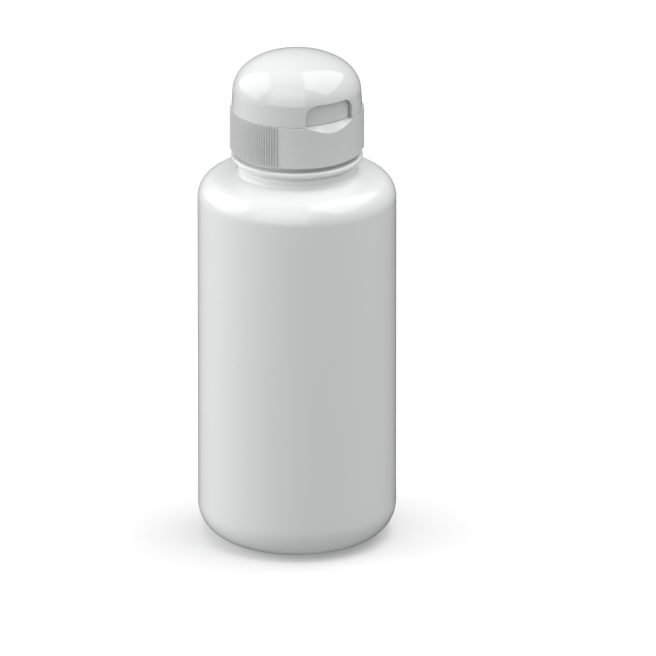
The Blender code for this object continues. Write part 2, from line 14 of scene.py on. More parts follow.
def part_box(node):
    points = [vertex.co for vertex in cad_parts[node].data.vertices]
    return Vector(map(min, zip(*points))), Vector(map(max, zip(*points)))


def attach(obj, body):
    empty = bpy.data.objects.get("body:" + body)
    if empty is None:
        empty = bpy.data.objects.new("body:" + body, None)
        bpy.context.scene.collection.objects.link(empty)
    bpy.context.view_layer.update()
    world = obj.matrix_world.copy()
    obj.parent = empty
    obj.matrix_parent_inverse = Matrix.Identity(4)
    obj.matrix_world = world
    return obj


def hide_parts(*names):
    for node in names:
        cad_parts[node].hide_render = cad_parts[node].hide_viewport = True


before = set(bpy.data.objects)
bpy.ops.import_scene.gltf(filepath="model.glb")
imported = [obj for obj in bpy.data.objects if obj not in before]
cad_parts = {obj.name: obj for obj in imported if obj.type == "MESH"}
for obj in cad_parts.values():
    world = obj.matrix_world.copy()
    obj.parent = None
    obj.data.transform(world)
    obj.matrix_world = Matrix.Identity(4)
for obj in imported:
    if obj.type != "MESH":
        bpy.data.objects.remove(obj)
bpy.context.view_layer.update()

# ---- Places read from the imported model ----
BOTTLE_LOW, BOTTLE_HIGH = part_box("bottle")
CLOSURE_LOW, CLOSURE_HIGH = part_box("closure")
LID_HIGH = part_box("lid")[1]
GASKET_LOW, GASKET_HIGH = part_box("neck_gasket")
SPOUT_LOW, SPOUT_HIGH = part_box("mouthpiece")
VALVE_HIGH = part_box("slit_valve")[1]
RETAINER_LOW, RETAINER_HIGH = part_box("valve_retainer")
SEAL_LOW, SEAL_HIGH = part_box("lid_seal")
PIN_LOW, PIN_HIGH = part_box("hinge_pin")

BODY_RADIUS = BOTTLE_HIGH.x
LIP_Z = BOTTLE_HIGH.z
GRIP_RADIUS = CLOSURE_HIGH.x
CLOSURE_RADIUS = LID_HIGH.x
SKIRT_Z = CLOSURE_LOW.z
LID_TOP_Z = LID_HIGH.z
HINGE_Y = (PIN_LOW.y + PIN_HIGH.y) / 2
HINGE_Z = (PIN_LOW.z + PIN_HIGH.z) / 2

# ---- Bottle ----
BODY_WALL = 0.0012
BASE_FILLET = 0.0148
FOOT_WIDTH = 0.0050
FOOT_ROUND = 0.0012
# The blend from foot to push-up, as shares of the foot's round: the height at its start, then a point's
# inset and lift.
FOOT_BLEND_START = 0.18
FOOT_BLEND_INSET = 0.4
FOOT_BLEND_LIFT = 0.03
PUSH_UP_HEIGHT = 0.0035
# Points on the push-up's inner face, as shares of the floor's radius and of the push-up's height.
PUSH_UP_INSIDE = ((0.75, 0.42), (0.4, 0.84))
WELD_RIDGE_HEIGHT = 0.0003
WELD_RIDGE_WIDTH = 0.0006
WELD_RIDGE_REACH = 0.0200
WELD_RIDGE_FADE = 0.2
SHOULDER_START = 0.1575
SHOULDER_FILLET = 0.0106
SHOULDER_SLOPE = math.radians(12)
NECK_RADIUS = 0.0260
NECK_LENGTH = 0.0059
NECK_FILLET = 0.0020
NECK_WALL = 0.0017
BEAD_RADIUS = 0.0292
BEAD_HEIGHT = 0.0022
BEAD_ROUND = 0.0010
BEAD_LOW_ROUND = 0.0009
# The recess in the neck under the bead.
UNDERCUT_DEPTH = 0.0009
UNDERCUT_HEIGHT = 0.0024
UNDERCUT_ROUND = 0.0003
FINISH_RADIUS = 0.0253
FINISH_FILLET = 0.0006
LIP_ROUND = 0.0005

# ---- Thread ----
THREAD_PITCH = 0.0045
THREAD_DEPTH = 0.0014
THREAD_ROOT_WIDTH = 0.0020
THREAD_CREST_WIDTH = 0.0009
THREAD_FLANK_GAP = 0.0003
THREAD_CLEARANCE = 0.0005
THREAD_FADE = math.radians(35)
BOTTLE_THREAD_TURNS = 1.5
CLOSURE_THREAD_TURNS = 1.25
THREAD_START = 0.0065
THREAD_ROW = 0.00022

# ---- Closure ----
SEAT_GAP = 0.00015
PARTING_GAP = 0.00008
SKIRT_EDGE_ROUND = 0.0004
DECK_THICKNESS = 0.0027
DECK_WALL = 0.0020
SKIRT_BORE = FINISH_RADIUS + THREAD_DEPTH + THREAD_CLEARANCE
GASKET_SEAT_WIDTH = 0.0047
PLATEAU_HEIGHT = 0.0017
PLATEAU_GAP = 0.0005
RIM_ROUND = 0.00014
GRIP_GROOVE = 0.0012
GRIP_RIB_PITCH = math.radians(2.4)
GRIP_RIBS = 33
GRIP_STEP = math.radians(0.12)
GRIP_CHAMFER = 0.0006
GRIP_FOOT_SHARE = 0.25
GRIP_COLUMNS = 14
# Where a rib's flanks start and how wide they are, as shares of the rib pitch.
RIB_RISE = 0.20
RIB_FALL = 0.60
RIB_FLANK = 0.22
SCOOP_DEPTH = 0.0036
SCOOP_POWER = 1.2
SCOOP_REACH = 0.0060
SCOOP_ROWS = 8

# ---- Mouthpiece, valve, retainer ----
SPOUT_BASE_RADIUS = 0.0095
SPOUT_TIP_RADIUS = 0.0078
SPOUT_ROOT_FILLET = 0.0020
SPOUT_BEAD = 0.0006
SPOUT_BEAD_HEIGHT = 0.0030
SPOUT_BORE = 0.0054
COLLAR_THICKNESS = 0.0007
VALVE_SEAT_RADIUS = 0.0066
VALVE_WALL = 0.0008
VALVE_DISH = 0.0014
VALVE_FLANGE_HEIGHT = 0.0014
SLIT_LENGTH = 0.0066
SLIT_WIDTH = 0.00012
# Where the rows of the valve's dish stand, as shares of its radius.
VALVE_TOP_SHARES = (0.15, 0.3, 0.45, 0.6, 0.72, 0.82)
VALVE_UNDER_SHARES = (0.85, 0.65, 0.45, 0.25)
RETAINER_WALL = 0.0016
SMALL_ROUND = 0.00025

# ---- Lid ----
LID_WALL = 0.0019
LID_DRAFT = 0.00035
CREASE_HEIGHT = 0.0094
CREASE_GROOVE = 0.00012
DOME_FOOT_HEIGHT = 0.0063
DOME_POWER = 2.237
SEAL_HOLDER_WALL = 0.0014
SEAL_HOLDER_GAP = 0.0003
GATE_RADIUS = 0.0016
GATE_DEPTH = 0.00010
GATE_FADE = 0.3
SEAL_ROUND = 0.000375
NOTCH_HALF_WIDTH = 0.0123
NOTCH_HEIGHT = 0.0096
NOTCH_CORNER = 0.0055
NOTCH_DEPTH = 0.00255
NOTCH_BACK_WALL = 0.0016
NOTCH_SIDE_WALL = 0.0017
NOTCH_EDGE_ROUND = 0.00014
NOTCH_GROOVE_WIDTH = 0.0008
NOTCH_GROOVE_DEPTH = 0.0010
NOTCH_EDGE_TURN = math.radians(78)

# ---- Hinge ----
HINGE_HEAD_RADIUS = 0.0021
HINGE_PRESS_GAP = 0.0001
HINGE_RUN_GAP = 0.0002
HINGE_SIDE_GAP = 0.0003
KNUCKLE_HALF_WIDTH = 0.0038
LUG_WIDTH = 0.0028
LUG_FOOT_DROP = 0.0072
LUG_BRACE_DROP = HINGE_HEAD_RADIUS * 2
HINGE_ARM_LIFT = 0.0005
HINGE_ARM_RISE = HINGE_HEAD_RADIUS * 1.5
HINGE_EDGE = 0.0002
PIN_RADIUS = (PIN_HIGH.z - PIN_LOW.z) / 2

# ---- Worked out ----
SHOULDER_TURN = math.pi / 2 - SHOULDER_SLOPE
SHOULDER_EDGE_RADIUS = BODY_RADIUS - SHOULDER_FILLET * (1 - math.cos(SHOULDER_TURN))
SHOULDER_EDGE_Z = SHOULDER_START + SHOULDER_FILLET * math.sin(SHOULDER_TURN)
NECK_FOOT_Z = SHOULDER_EDGE_Z + (SHOULDER_EDGE_RADIUS - NECK_RADIUS) * math.tan(SHOULDER_SLOPE)
BEAD_Z = NECK_FOOT_Z + NECK_LENGTH
BEAD_TOP_Z = BEAD_Z + BEAD_HEIGHT
MOUTH_RADIUS = FINISH_RADIUS - NECK_WALL
DECK_UNDER_Z = GASKET_HIGH.z + SEAT_GAP
RIM_Z = DECK_UNDER_Z + DECK_THICKNESS
NOTCH_BACK_RADIUS = CLOSURE_RADIUS - NOTCH_DEPTH
NOTCH_PAD_RADIUS = NOTCH_BACK_RADIUS - NOTCH_BACK_WALL
PLATEAU_RADIUS = NOTCH_PAD_RADIUS - PLATEAU_GAP
PLATEAU_Z = RIM_Z + PLATEAU_HEIGHT
PLATEAU_UNDER_Z = PLATEAU_Z - DECK_WALL
LID_Z = RIM_Z + PARTING_GAP
DOME_Z = RIM_Z + SEAT_GAP + DOME_FOOT_HEIGHT
DOME_HEIGHT = LID_TOP_Z - DOME_Z
DOME_RADIUS = CLOSURE_RADIUS - LID_DRAFT
CREASE_Z = RIM_Z + CREASE_HEIGHT

# ---- Mesh fineness ----
COLUMNS = 192
SMALL_COLUMNS = 96
ROD_COLUMNS = 64
NOTCH_PAD_COLUMNS = 40
FRONT_STEP = math.radians(0.75)
PLAIN_STEP = math.radians(1.8)
STEP_SHARES = (0.25, 0.5, 0.75)
WELD = 1e-7
SHARP_ANGLE = math.radians(32)
# How far into a wall or a rounded edge still counts as its outer side.
OUTER_SHARE = 0.9
CUT_MARGIN = 0.004
KNUCKLE_CUT_MARGIN = 0.0005
NOTCH_COLUMNS = 32
NOTCH_SIDE_STEPS = 8
NOTCH_ARC_STEPS = 18
NOTCH_ROUND_STEPS = 5

# ---- Materials: noise scales are in waves a metre, bump heights in metres, colours in linear light ----
NOISE_REACH = (0.25, 0.75)
CLOUD_SCALE = 55.0
CLOUD_SHARE = 0.985
SMEAR_SCALE = 420.0
SMEAR_SPREAD = 0.1
RIPPLE_SCALE = 110.0
GRAIN_SCALE = 4200.0
PLASTIC_SPECULAR = 0.5
# Moulded plastics as (colour, roughness, height of the ripples, height of the grain).
BLOWN_WHITE = ((0.86, 0.87, 0.868), 0.09, 0.00002, 0.0000012)
MOULDED_SATIN = ((0.765, 0.775, 0.773), 0.34, 0.00001, 0.000003)
MOULDED_POLISHED = ((0.765, 0.775, 0.773), 0.055, 0.00001, 0.0000008)
SILICONE_COLOUR = (0.74, 0.75, 0.76)
SILICONE_ROUGHNESS = 0.48
SILICONE_CLOUD_SCALE = 300.0
SILICONE_CLOUD_SHARE = 0.96
SILICONE_SMEAR_SCALE = 1500.0
SILICONE_SMEAR_SPREAD = 0.15
SILICONE_GRAIN_SCALE = 5200.0
SILICONE_GRAIN = 0.000004
SILICONE_DEPTH_SHARE = 0.25
SILICONE_DEPTH = (0.0012, 0.0012, 0.0011)
STEEL_DARK = (0.50, 0.50, 0.51)
STEEL_LIGHT = (0.68, 0.68, 0.69)
STEEL_ROUGHNESS = (0.22, 0.36)
STEEL_LINE_SCALE = (60.0, 9000.0, 9000.0)
STEEL_LINE_DEPTH = 0.000002
FLOOR_CLOUD_SCALE = 3.0
FLOOR_TONES = ((0.90, 0.90, 0.90), (0.91, 0.91, 0.91))

# ---- Camera and light: azimuths are from the front, seen from above, positive towards +X ----
CAMERA_AZIMUTH = math.radians(-33.2)
CAMERA_ELEVATION = math.radians(20)
CAMERA_DISTANCE = 10.0
FRAME_WIDTH = 0.2908
SENSOR_WIDTH = 36.0
AIM_HEIGHT = 0.09535
AIM_RIGHT = 0.01373
LIGHT_CENTRE_Z = 0.17
SHINE_DISTANCE = 3.0
FILL_DISTANCE = 3.1

# Soft boxes as (name, azimuth from the camera, tilt, half width, low edge, high edge, radiance).
# Angles are in degrees. The width and the edges are shares of the light's distance.
# Shine boxes are seen in reflections only, and fill boxes light the surfaces only.
SHINE_BOXES = (
    ("left", -104.5, 5, 0.64, 0.0, 1.32, 2.1),
    ("front", -19, 12, 0.617, -0.15, 1.18, 1.5),
    ("right", 98, 32, 0.69, 0.05, 1.20, 2.2),
    ("over", 0, 90, 0.5, -0.5, 0.5, 0.3),
)
FILL_BOXES = (
    ("left_low", -104.5, 8, 0.6, -0.12, 0.25, 3.97),
    ("left_near", -75, 15, 0.4, -0.2, 0.6, 1.06),
    ("right", 98, 32, 0.69, 0.05, 1.20, 1.6),
    ("top", 0, 90, 0.32, -0.32, 0.32, 2.4),
    ("front", -19, 12, 0.617, -0.15, 1.18, 0.1),
    ("front_high", 0, 50, 0.8, -0.4, 0.4, 0.19),
)
# Strength of the even surround, and of the backdrop that the camera sees past the floor.
SURROUND = 0.456
BACKDROP = 1.0
FLOOR_HALF_SIZE = 40.0
FLOOR_DROP = 0.00005


# ======== Mesh tools ========


def arc(centre_r, centre_z, radius, start, end, steps):
    """Points along an arc in the (radius, z) plane, both ends included. Angles are from +r."""
    angles = [start + (end - start) * i / steps for i in range(steps + 1)]
    return [(centre_r + radius * math.cos(a), centre_z + radius * math.sin(a)) for a in angles]


def line(start, end, steps):
    """Points along a straight line, without its first point."""
    return [
        tuple(a + (b - a) * i / steps for a, b in zip(start, end))
        for i in range(1, steps + 1)
    ]


def even_angles(count=COLUMNS):
    return [math.tau * i / count for i in range(count)]


def finish_object(bm, name):
    bmesh.ops.remove_doubles(bm, verts=bm.verts, dist=WELD)
    bmesh.ops.recalc_face_normals(bm, faces=bm.faces)
    mesh = bpy.data.meshes.new(name)
    bm.to_mesh(mesh)
    bm.free()
    obj = bpy.data.objects.new(name, mesh)
    bpy.context.scene.collection.objects.link(obj)
    shade(mesh)
    return obj


def shade(mesh):
    mesh.shade_smooth()
    mesh.set_sharp_from_angle(angle=SHARP_ANGLE)


def turned(name, rows, angles=None, closed=False, shape=None):
    """Turns rows of (radius, z) about Z.

    shape may move each point: it takes (radius, z, angle) and gives back (radius, z)."""
    angles = angles or even_angles()
    bm = bmesh.new()
    rings = []
    for r, z in rows:
        if r == 0:
            pole = bm.verts.new((0, 0, shape(0, z, 0)[1] if shape else z))
            rings.append([pole] * len(angles))
            continue
        ring = []
        for a in angles:
            pr, pz = shape(r, z, a) if shape else (r, z)
            ring.append(bm.verts.new((pr * math.cos(a), pr * math.sin(a), pz)))
        rings.append(ring)
    pairs = list(zip(rings, rings[1:]))
    if closed:
        pairs.append((rings[-1], rings[0]))
    for low, high in pairs:
        for i in range(len(angles)):
            j = (i + 1) % len(angles)
            corners = []
            for v in (low[i], low[j], high[j], high[i]):
                if v not in corners:
                    corners.append(v)
            if len(corners) > 2:
                bm.faces.new(corners)
    return finish_object(bm, name)


def lofted(name, rings):
    """Joins closed rings of equal length into a solid, with a face on the first and the last."""
    bm = bmesh.new()
    loops = [[bm.verts.new(p) for p in ring] for ring in rings]
    count = len(loops[0])
    for low, high in zip(loops, loops[1:]):
        for i in range(count):
            j = (i + 1) % count
            bm.faces.new((low[i], low[j], high[j], high[i]))
    bm.faces.new(loops[0])
    bm.faces.new(loops[-1])
    return finish_object(bm, name)


def slab_x(name, outline, x_low, x_high, edge):
    """A plate across X from an outline of (y, z) points, with its rims rounded."""
    rings = []
    centre_y = sum(p[0] for p in outline) / len(outline)
    centre_z = sum(p[1] for p in outline) / len(outline)
    reach = max(math.hypot(y - centre_y, z - centre_z) for y, z in outline)
    for x, inset in ((x_low, edge), (x_low + edge, 0), (x_high - edge, 0), (x_high, edge)):
        scale = 1 - inset / reach
        rings.append(
            [(x, centre_y + (y - centre_y) * scale, centre_z + (z - centre_z) * scale) for y, z in outline]
        )
    return lofted(name, rings)


def rod_x(name, radius, x_low, x_high, chamfer=0.0):
    """A rod along X on the hinge axis, with chamfered ends if a chamfer is given."""
    stations = [(x_low, radius), (x_high, radius)]
    if chamfer:
        stations = [(x_low, radius - chamfer), (x_low + chamfer, radius)]
        stations += [(x_high - chamfer, radius), (x_high, radius - chamfer)]
    rings = [
        [(x, HINGE_Y + r * math.cos(a), HINGE_Z + r * math.sin(a)) for a in even_angles(ROD_COLUMNS)]
        for x, r in stations
    ]
    return lofted(name, rings)


def combine(obj, tools, operation):
    """Joins or cuts an object with each tool, which is then removed."""
    for tool in tools:
        modifier = obj.modifiers.new(tool.name, "BOOLEAN")
        modifier.operation = operation
        modifier.object = tool
        bpy.context.view_layer.update()
        graph = bpy.context.evaluated_depsgraph_get()
        mesh = bpy.data.meshes.new_from_object(obj.evaluated_get(graph))
        obj.modifiers.clear()
        obj.data = mesh
        bpy.data.objects.remove(tool, do_unlink=True)
    shade(obj.data)
    return obj


def smooth_step(t):
    t = min(1.0, max(0.0, t))
    return t * t * (3 - 2 * t)


def thread_height(z, angle, start_z, turns):
    """Share of the thread's depth at a place on the wall: 1 on the crest, 0 off the thread."""
    best = 0.0
    for turn in range(math.ceil(turns) + 1):
        along = angle + math.tau * turn
        if along > math.tau * turns:
            continue
        off = abs(z - start_z - THREAD_PITCH * along / math.tau)
        flank = (THREAD_ROOT_WIDTH - THREAD_CREST_WIDTH) / 2
        rise = smooth_step((THREAD_ROOT_WIDTH / 2 - off) / flank)
        fade = smooth_step(min(along, math.tau * turns - along) / THREAD_FADE)
        best = max(best, rise * fade)
    return best


# ======== Bottle ========


def bottle_outside():
    foot_inner = BODY_RADIUS - BASE_FILLET - FOOT_WIDTH
    bowl_edge = foot_inner - FOOT_ROUND
    bowl_radius = (bowl_edge**2 + PUSH_UP_HEIGHT**2) / (2 * PUSH_UP_HEIGHT)
    half = math.asin(bowl_edge / bowl_radius)
    rows = arc(0, PUSH_UP_HEIGHT - bowl_radius, bowl_radius, math.pi / 2, math.pi / 2 - half, 40)
    rows[0] = (0, PUSH_UP_HEIGHT)
    rows[-1] = (bowl_edge, FOOT_ROUND * FOOT_BLEND_START)
    rows += [(foot_inner - FOOT_ROUND * FOOT_BLEND_INSET, FOOT_ROUND * FOOT_BLEND_LIFT), (foot_inner, 0)]
    rows += line((foot_inner, 0), (foot_inner + FOOT_WIDTH, 0), 2)[:-1]
    rows += arc(BODY_RADIUS - BASE_FILLET, BASE_FILLET, BASE_FILLET, -math.pi / 2, 0, 28)
    rows += line((BODY_RADIUS, BASE_FILLET), (BODY_RADIUS, SHOULDER_START), 12)[:-1]
    centre = BODY_RADIUS - SHOULDER_FILLET
    rows += arc(centre, SHOULDER_START, SHOULDER_FILLET, 0, SHOULDER_TURN, 22)
    back = NECK_FILLET * math.tan(SHOULDER_TURN / 2)
    fillet_start = math.pi + SHOULDER_TURN
    fillet = arc(NECK_RADIUS + NECK_FILLET, NECK_FOOT_Z + back, NECK_FILLET, fillet_start, math.pi, 8)
    rows += line(rows[-1], fillet[0], 5)[:-1] + fillet
    inner = NECK_RADIUS - UNDERCUT_DEPTH
    step = BEAD_Z - UNDERCUT_HEIGHT
    small = UNDERCUT_ROUND
    rows += arc(NECK_RADIUS - small, step - small, small, 0, math.pi / 2, 3)
    rows += arc(inner + small, step + small, small, -math.pi / 2, -math.pi, 3)
    rows += arc(inner + small, BEAD_Z - small, small, math.pi, math.pi / 2, 3)
    low = BEAD_LOW_ROUND
    rows += arc(BEAD_RADIUS - low, BEAD_Z + low, low, -math.pi / 2, 0, 6)
    rows += arc(BEAD_RADIUS - BEAD_ROUND, BEAD_TOP_Z - BEAD_ROUND, BEAD_ROUND, 0, math.pi / 2, 8)
    root = FINISH_FILLET
    rows += arc(FINISH_RADIUS + root, BEAD_TOP_Z + root, root, -math.pi / 2, -math.pi, 4)
    thread_low = BEAD_TOP_Z + THREAD_START - THREAD_ROOT_WIDTH
    thread_high = BEAD_TOP_Z + THREAD_START + THREAD_PITCH * BOTTLE_THREAD_TURNS + THREAD_ROOT_WIDTH
    rows += line((FINISH_RADIUS, rows[-1][1]), (FINISH_RADIUS, thread_low), 2)
    thread_rows = round((thread_high - thread_low) / THREAD_ROW)
    rows += line((FINISH_RADIUS, thread_low), (FINISH_RADIUS, thread_high), thread_rows)
    rows += arc(FINISH_RADIUS - LIP_ROUND, LIP_Z - LIP_ROUND, LIP_ROUND, 0, math.pi / 2, 5)
    return rows


def bottle_inside():
    inner = BODY_RADIUS - BODY_WALL
    shoulder = SHOULDER_FILLET - BODY_WALL
    rows = arc(MOUTH_RADIUS + LIP_ROUND, LIP_Z - LIP_ROUND, LIP_ROUND, math.pi / 2, math.pi, 5)
    rows += [(MOUTH_RADIUS, NECK_FOOT_Z + BODY_WALL)]
    rows += [(MOUTH_RADIUS + BODY_WALL / 2, NECK_FOOT_Z - BODY_WALL / 2)]
    rows += arc(inner - shoulder, SHOULDER_START, shoulder, SHOULDER_TURN, 0, 14)
    fillet = BASE_FILLET - BODY_WALL
    rows += arc(inner - fillet, BASE_FILLET, fillet, 0, -math.pi / 2, 14)
    floor_edge = inner - fillet - FOOT_WIDTH
    rows += [(floor_edge, BODY_WALL)]
    rows += [(floor_edge * out, BODY_WALL + PUSH_UP_HEIGHT * up) for out, up in PUSH_UP_INSIDE]
    rows += [(0, BODY_WALL + PUSH_UP_HEIGHT)]
    return rows


def bottle_shape(r, z, angle):
    """Raises the neck thread, and the weld ridge that runs across the underside along X."""
    if z > BEAD_TOP_Z + THREAD_ROOT_WIDTH and r > MOUTH_RADIUS + NECK_WALL * OUTER_SHARE:
        start = BEAD_TOP_Z + THREAD_START
        return r + THREAD_DEPTH * thread_height(z, angle, start, BOTTLE_THREAD_TURNS), z
    if r < WELD_RIDGE_REACH and z < PUSH_UP_HEIGHT + BODY_WALL / 2:
        off = r * math.sin(angle) / WELD_RIDGE_WIDTH
        fade = smooth_step((WELD_RIDGE_REACH - r) / (WELD_RIDGE_REACH * WELD_RIDGE_FADE))
        return r, z - WELD_RIDGE_HEIGHT * fade * math.exp(-off * off)
    return r, z


def make_bottle():
    return turned("bottle_body", bottle_outside() + bottle_inside(), shape=bottle_shape)


# ======== Closure ========


def front_offset(angle):
    """How far an angle is from the front, -Y, from -pi to pi."""
    return (angle + math.pi / 2 + math.pi) % math.tau - math.pi


def grip_offset(angle):
    """Where an angle lies across the nearer grip panel: 0 to 1 from edge to edge, or beyond when off it."""
    panel = GRIP_RIB_PITCH * GRIP_RIBS
    nearer = 0.0 if math.cos(angle) > 0 else math.pi
    off = (angle - nearer + math.pi) % math.tau - math.pi
    return off / panel + 0.5


def grip_height(angle):
    """How far the grip stands out from the smooth skirt at an angle."""
    share = grip_offset(angle)
    panel = GRIP_RIB_PITCH * GRIP_RIBS
    edge = min(share, 1 - share) * panel / GRIP_STEP
    if edge <= 0:
        return 0.0
    place = (share * GRIP_RIBS) % 1.0
    rise = smooth_step((place - RIB_RISE) / RIB_FLANK)
    fall = smooth_step((RIB_FALL + RIB_FLANK - place) / RIB_FLANK)
    height = GRIP_RADIUS - CLOSURE_RADIUS - GRIP_GROOVE * (1 - rise * fall)
    return height * smooth_step(edge)


def closure_angles():
    """Columns: fine on the grips and at the thumb scoop, wider elsewhere."""
    half = GRIP_RIB_PITCH * GRIP_RIBS / 2
    angles = []
    for centre in (0.0, math.pi):
        count = GRIP_RIBS * GRIP_COLUMNS
        angles += [centre - half + 2 * half * i / count for i in range(count + 1)]
        angles += [centre - half + GRIP_STEP * s for s in STEP_SHARES]
        angles += [centre + half - GRIP_STEP * s for s in STEP_SHARES]
    gap = math.pi - 2 * half
    for start, step in ((half, PLAIN_STEP), (math.pi + half, FRONT_STEP)):
        count = round(gap / step)
        angles += [start + gap * i / count for i in range(1, count)]
    return sorted(set(round(a % math.tau, 9) for a in angles))


def scoop_drop(x):
    """How far the thumb scoop drops below the rim on the outer face, across its width."""
    share = min(1.0, abs(x) / NOTCH_HALF_WIDTH)
    return SCOOP_DEPTH * max(0.0, math.cos(math.pi / 2 * share)) ** SCOOP_POWER


def closure_rows():
    hole = SPOUT_BASE_RADIUS + SEAT_GAP
    seat_inner = SKIRT_BORE - GASKET_SEAT_WIDTH
    edge = SKIRT_EDGE_ROUND
    small = SMALL_ROUND
    rows = arc(hole + small, PLATEAU_Z - small, small, math.pi, math.pi / 2, 3)
    rows += line(rows[-1], (PLATEAU_RADIUS - edge, PLATEAU_Z), 4)[:-1]
    rows += arc(PLATEAU_RADIUS - edge, PLATEAU_Z - edge, edge, math.pi / 2, 0, 4)
    rows += arc(PLATEAU_RADIUS + small, RIM_Z + small, small, math.pi, 1.5 * math.pi, 3)
    rows += line(rows[-1], (NOTCH_BACK_RADIUS, RIM_Z), 3)
    rows += line((NOTCH_BACK_RADIUS, RIM_Z), (CLOSURE_RADIUS - RIM_ROUND, RIM_Z), SCOOP_ROWS)[:-1]
    rows += arc(CLOSURE_RADIUS - RIM_ROUND, RIM_Z - RIM_ROUND, RIM_ROUND, math.pi / 2, 0, 4)
    rows += line((CLOSURE_RADIUS, RIM_Z - RIM_ROUND), (CLOSURE_RADIUS, RIM_Z - SCOOP_REACH), 6)
    chamfer_top = SKIRT_Z + edge + GRIP_CHAMFER
    rows += line((CLOSURE_RADIUS, RIM_Z - SCOOP_REACH), (CLOSURE_RADIUS, chamfer_top), 5)
    rows += line((CLOSURE_RADIUS, chamfer_top), (CLOSURE_RADIUS, SKIRT_Z + edge), 3)
    rows += arc(CLOSURE_RADIUS - edge, SKIRT_Z + edge, edge, 0, -math.pi / 2, 4)[1:]
    rows += arc(SKIRT_BORE + edge, SKIRT_Z + edge, edge, -math.pi / 2, -math.pi, 4)
    start = thread_low_z()
    low = start - THREAD_ROOT_WIDTH
    high = start + THREAD_PITCH * CLOSURE_THREAD_TURNS + THREAD_ROOT_WIDTH
    rows += line((SKIRT_BORE, SKIRT_Z + edge), (SKIRT_BORE, low), 1)
    rows += line((SKIRT_BORE, low), (SKIRT_BORE, high), round((high - low) / THREAD_ROW))
    rows += [(SKIRT_BORE, DECK_UNDER_Z), (seat_inner, DECK_UNDER_Z), (seat_inner, PLATEAU_UNDER_Z)]
    rows += line((seat_inner, PLATEAU_UNDER_Z), (hole, PLATEAU_UNDER_Z), 3)
    return rows


def thread_low_z():
    """Height of the closure thread's start: it lies just under the bottle's thread."""
    flank = (THREAD_ROOT_WIDTH + THREAD_CREST_WIDTH) / 2
    return BEAD_TOP_Z + THREAD_START - flank - THREAD_FLANK_GAP


def closure_shape(r, z, angle):
    """Adds the grip ribs, the thumb scoop and the inner thread to the plain turned closure."""
    bore_side = r < SKIRT_BORE + SKIRT_EDGE_ROUND / 2 and z < DECK_UNDER_Z - THREAD_ROW
    if bore_side and z > SKIRT_Z + SKIRT_EDGE_ROUND:
        share = thread_height(z, angle, thread_low_z(), CLOSURE_THREAD_TURNS)
        return r - THREAD_DEPTH * share, z
    if z > RIM_Z - SCOOP_REACH and NOTCH_BACK_RADIUS - WELD <= r and z <= RIM_Z + WELD:
        if abs(front_offset(angle)) < math.pi / 4:
            drop = scoop_drop(r * math.sin(front_offset(angle)))
            if z > RIM_Z - WELD:
                share = (r - NOTCH_BACK_RADIUS) / (CLOSURE_RADIUS - NOTCH_BACK_RADIUS)
            else:
                share = 1 - (RIM_Z - RIM_ROUND - z) / (SCOOP_REACH - RIM_ROUND)
            return r, z - drop * min(1.0, share)
    edge = SKIRT_EDGE_ROUND * OUTER_SHARE
    if r > CLOSURE_RADIUS - edge and RIM_Z + WELD >= z > SKIRT_Z + SKIRT_EDGE_ROUND / 2:
        lift = min(1.0, max(0.0, (z - SKIRT_Z - SKIRT_EDGE_ROUND) / GRIP_CHAMFER))
        height = grip_height(angle) * (GRIP_FOOT_SHARE + (1 - GRIP_FOOT_SHARE) * lift)
        if z > RIM_Z - RIM_ROUND - WELD:
            height *= min(1.0, (r - CLOSURE_RADIUS + edge) / (edge - RIM_ROUND))
        return r + height, z
    return r, z


def lug_outline():
    """Side view of a hinge lug in (y, z): a round head on a foot that runs down into the skirt."""
    head = arc(HINGE_Y, HINGE_Z, HINGE_HEAD_RADIUS, 0, math.pi, 28)
    buried = SKIRT_BORE + NECK_WALL / 2
    shelf = RIM_Z - SEAT_GAP * 2
    foot_z = RIM_Z - LUG_FOOT_DROP
    below = [
        (HINGE_Y - HINGE_HEAD_RADIUS, shelf),
        (buried, shelf),
        (buried, foot_z),
        (CLOSURE_RADIUS - SEAT_GAP, foot_z),
        (HINGE_Y + HINGE_HEAD_RADIUS, HINGE_Z - LUG_BRACE_DROP),
    ]
    return head + below


def make_closure():
    closure = turned("closure_moulding", closure_rows(), closure_angles(), closed=True, shape=closure_shape)
    start = KNUCKLE_HALF_WIDTH + HINGE_SIDE_GAP
    end = start + LUG_WIDTH
    lugs = [
        slab_x("lug_left", lug_outline(), -end, -start, HINGE_EDGE),
        slab_x("lug_right", lug_outline(), start, end, HINGE_EDGE),
    ]
    hole = rod_x("pin_hole", PIN_RADIUS + HINGE_PRESS_GAP, -end - CUT_MARGIN, end + CUT_MARGIN)
    combine(closure, lugs, "UNION")
    return combine(closure, [hole], "DIFFERENCE")


# ======== Mouthpiece, valve, retainer, gasket ========


